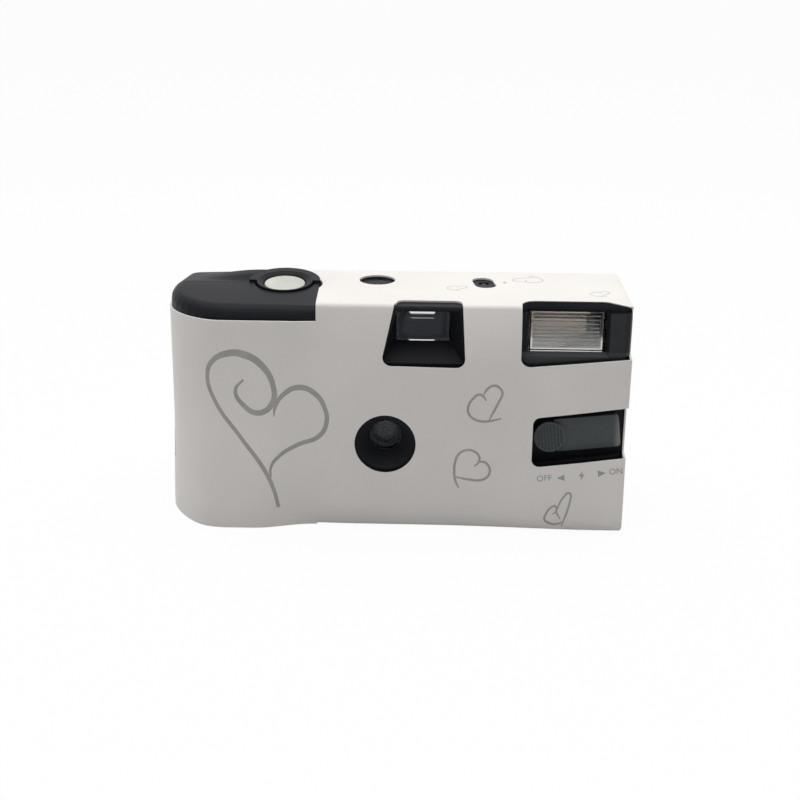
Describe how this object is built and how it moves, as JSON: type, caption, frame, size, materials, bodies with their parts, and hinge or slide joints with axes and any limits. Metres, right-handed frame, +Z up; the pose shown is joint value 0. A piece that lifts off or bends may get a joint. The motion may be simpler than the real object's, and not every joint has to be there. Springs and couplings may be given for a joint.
{
  "type": "disposable film camera",
  "caption": "Single-use film camera in a card sleeve with a bare cap, shutter button, finder, flash with slide switch and thumb wheel, and its film, shutter and flash parts inside.",
  "frame": {"origin": "on the surface the camera stands on, under the middle of its box", "axes": "+X to the right as the front is seen, +Y from front to back, +Z up"},
  "size_m": [0.115, 0.0332, 0.0602],
  "materials": {
    "card": "pearl coated card",
    "case_black": "satin moulded",
    "inner_black": "matte moulded",
    "switch_grey": "satin moulded",
    "button_grey": "satin moulded",
    "clear": "clear polished",
    "lever_white": "natural moulded",
    "blade_black": "matt black",
    "spring_steel": "drawn wire and strip",
    "can_metal": "printed tinplate",
    "film_base": "grey brown film base",
    "reflector_metal": "bright rolled",
    "board_green": "green board",
    "coil_copper": "wound wire in tape",
    "contact_brass": "sprung strip",
    "battery_jacket": "plain jacket",
    "capacitor_sleeve": "shrunk sleeve",
    "lamp": "glow lamp"
  },
  "bodies": {
    "camera_case": {"card_sleeve": "card", "front_cover": "case_black", "rear_cover": "case_black", "chassis": "inner_black", "lens_hood": "inner_black", "taking_lens": "clear", "aperture_plate": "blade_black", "blade_spring": "spring_steel", "drive_spring": "spring_steel", "catch_spring": "spring_steel", "film_cartridge": "can_metal", "cartridge_caps": "can_metal", "film_strip": "film_base", "counter_window": "clear", "finder_tube": "inner_black", "finder_front_lens": "clear", "finder_rear_lens": "clear", "flash_window": "clear", "flash_reflector": "reflector_metal", "flash_tube": "clear", "switch_contact": "contact_brass", "sync_contact": "contact_brass", "flash_board": "board_green", "flash_capacitor": "capacitor_sleeve", "flash_transformer": "coil_copper", "trigger_coil": "coil_copper", "ready_lamp": "lamp", "battery": "battery_jacket", "battery_contacts": "contact_brass"},
    "button": {"shutter_button": "button_grey"},
    "catch": {"release_catch": "lever_white"},
    "switch_slider": {"flash_switch": "switch_grey"},
    "take_up": {"advance_wheel": "inner_black", "cartridge_spool": "inner_black"},
    "sprocket": {"film_sprocket": "lever_white"},
    "counter": {"counter_dial": "inner_black"},
    "supply": {"supply_spool": "inner_black", "film_roll": "film_base"},
    "blade": {"shutter_blade": "blade_black"},
    "lever": {"drive_lever": "lever_white"},
    "pawl": {"ratchet_pawl": "lever_white"}
  },
  "joints": [
    {"name": "shutter_button_press", "type": "slide", "parent": "camera_case", "child": "button", "axis": [0, 0, -1], "range_m": [0, 0.0012], "stiffness_N_per_m": 600, "springref_m": -0.0012},
    {"name": "release_catch_rock", "type": "hinge", "parent": "camera_case", "child": "catch", "pos_m": [-0.0215, 0.0013, 0.05205], "axis": [0, -1, 0], "range_deg": [0, 9.5], "deforming": ["catch_spring"]},
    {"name": "flash_switch_slide", "type": "slide", "parent": "camera_case", "child": "switch_slider", "axis": [0.9925, 0, 0.1219], "range_m": [0, 0.007]},
    {"name": "film_advance", "type": "hinge", "parent": "camera_case", "child": "take_up", "pos_m": [-0.03996, 0.0016, 0.0499], "axis": [0, 0, 1], "continuous": true, "deforming": ["film_strip"]},
    {"name": "sprocket_turn", "type": "hinge", "parent": "camera_case", "child": "sprocket", "pos_m": [-0.0204, 0.00715, 0.0455], "axis": [0, 0, 1], "continuous": true},
    {"name": "counter_turn", "type": "hinge", "parent": "camera_case", "child": "counter", "pos_m": [-0.0102, 0.0034, 0.0455], "axis": [0, 0, 1], "continuous": true},
    {"name": "supply_turn", "type": "hinge", "parent": "camera_case", "child": "supply", "pos_m": [0.04475, 0.00475, 0.0227], "axis": [0, 0, 1], "continuous": true},
    {"name": "drive_lever_strike", "type": "hinge", "parent": "camera_case", "child": "lever", "pos_m": [-0.0145, -0.0026, 0.0467], "axis": [0, 0, -1], "range_deg": [0, 25], "stiffness_Nm_per_rad": 0.004, "deforming": ["drive_spring"]},
    {"name": "shutter_blade_open", "type": "hinge", "parent": "camera_case", "child": "blade", "pos_m": [-0.0125, -0.00885, 0.03], "axis": [0, -1, 0], "range_deg": [0, 27], "deforming": ["blade_spring"]},
    {"name": "ratchet_pawl_lift", "type": "hinge", "parent": "camera_case", "child": "pawl", "pos_m": [-0.0289, -0.01158, 0.0499], "axis": [0, 0, -1], "range_deg": [0, 8], "stiffness_Nm_per_rad": 0.0015}
  ],
  "couplings": [
    {"joint": "release_catch_rock", "follows": "shutter_button_press", "rad_per_m": 137.61},
    {"joint": "shutter_blade_open", "follows": "drive_lever_strike", "ratio": 1.08},
    {"joint": "sprocket_turn", "follows": "film_advance", "ratio": 1.4054},
    {"joint": "supply_turn", "follows": "film_advance", "ratio": 1.0241},
    {"joint": "counter_turn", "follows": "film_advance", "ratio": -0.050193}
  ]
}
